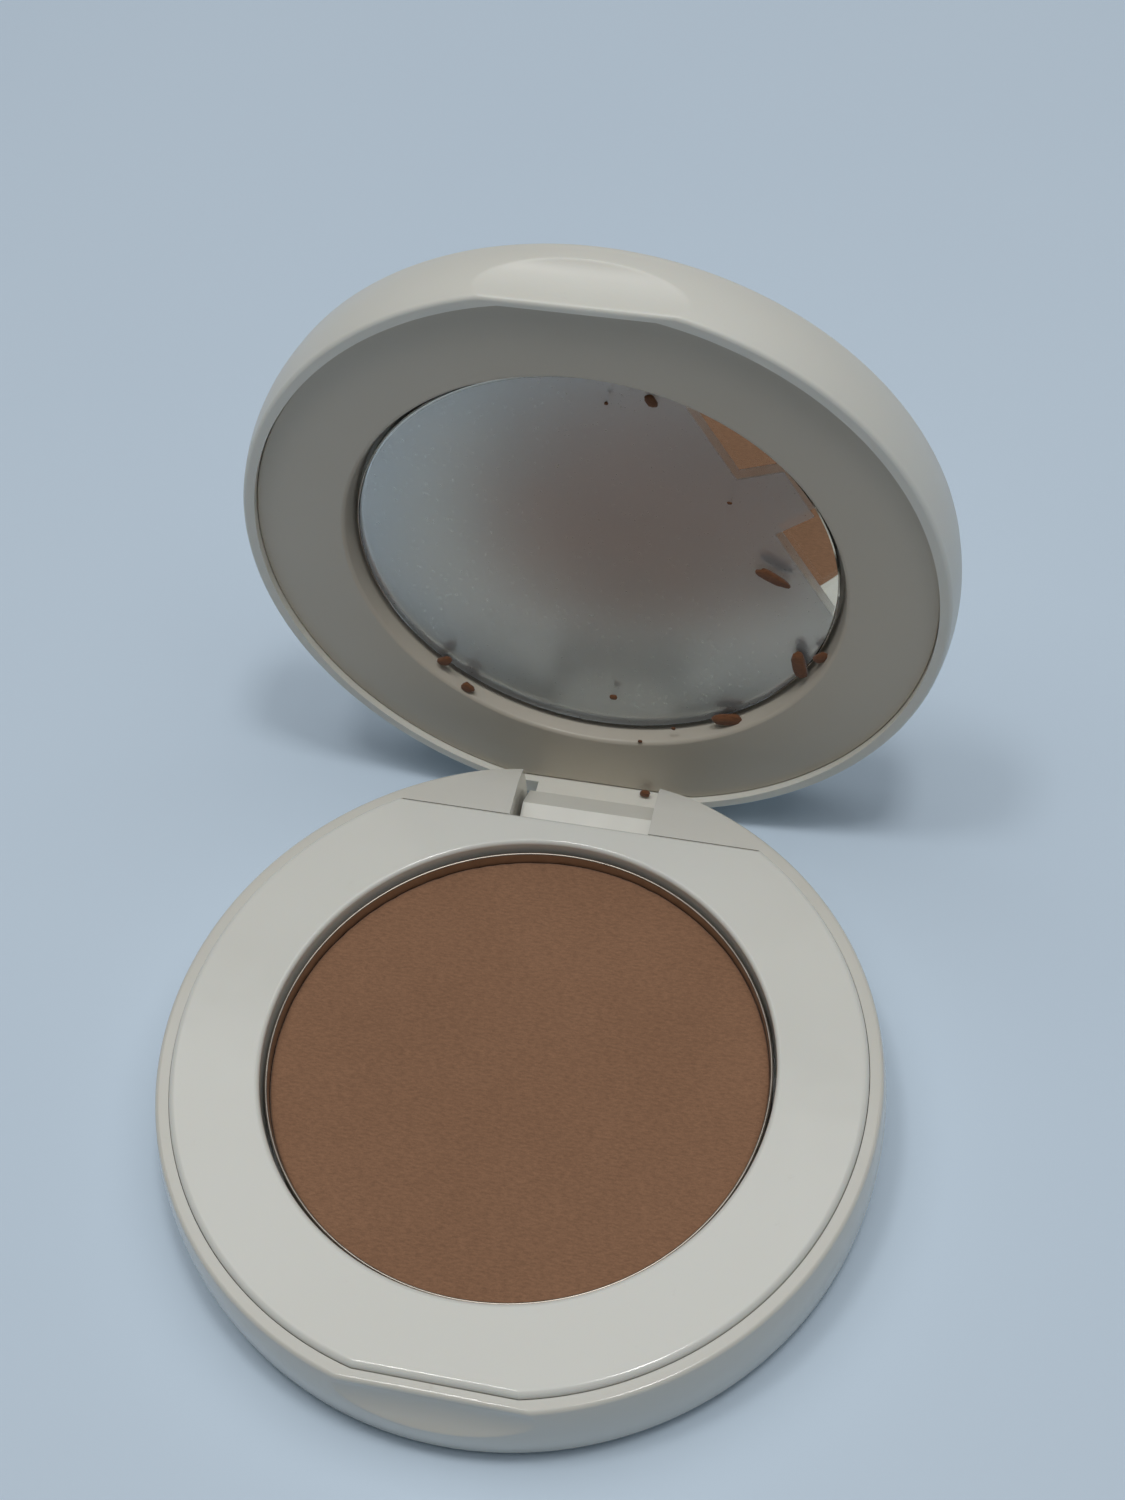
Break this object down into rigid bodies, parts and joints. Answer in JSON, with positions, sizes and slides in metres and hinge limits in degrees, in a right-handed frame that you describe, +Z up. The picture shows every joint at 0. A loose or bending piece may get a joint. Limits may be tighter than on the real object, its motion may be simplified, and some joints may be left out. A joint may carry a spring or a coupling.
{
  "type": "powder compact",
  "caption": "Round cosmetic compact with a hinged mirror lid, an inner deck and a recessed metal pan of pressed powder.",
  "frame": {"origin": "centre of the base's flat underside, on the surface that it stands on", "axes": "+Z up; +Y towards the hinge; -Y towards the thumb notch; +X to the user's right. At rest the lid stands open 94 degrees."},
  "size_m": [0.0758, 0.0915, 0.0754],
  "materials": {
    "cream_plastic": "semi-gloss moulded",
    "deck_plastic": "gloss moulded",
    "frame_plastic": "semi-gloss moulded",
    "tinplate": "drawn tinplate",
    "pressed_powder": "pressed powder, matt",
    "steel": "drawn wire",
    "mirror_silver": "silvered glass",
    "frosted_film": "translucent protective film",
    "adhesive": "adhesive sheet"
  },
  "bodies": {
    "base": {"base_shell": "cream_plastic", "base_deck": "deck_plastic", "powder_pan": "tinplate", "powder_cake": "pressed_powder", "pan_adhesive": "adhesive", "hinge_pin": "steel"},
    "lid": {"lid_shell": "cream_plastic", "mirror_frame": "frame_plastic", "mirror_tape": "adhesive", "mirror_glass": "mirror_silver", "mirror_film": "frosted_film"}
  },
  "joints": [
    {"name": "lid_hinge", "type": "hinge", "parent": "base", "child": "lid", "pos_m": [0, 0.0336, 0.005], "axis": [-1, 0, 0], "range_deg": [-94, 0]}
  ]
}
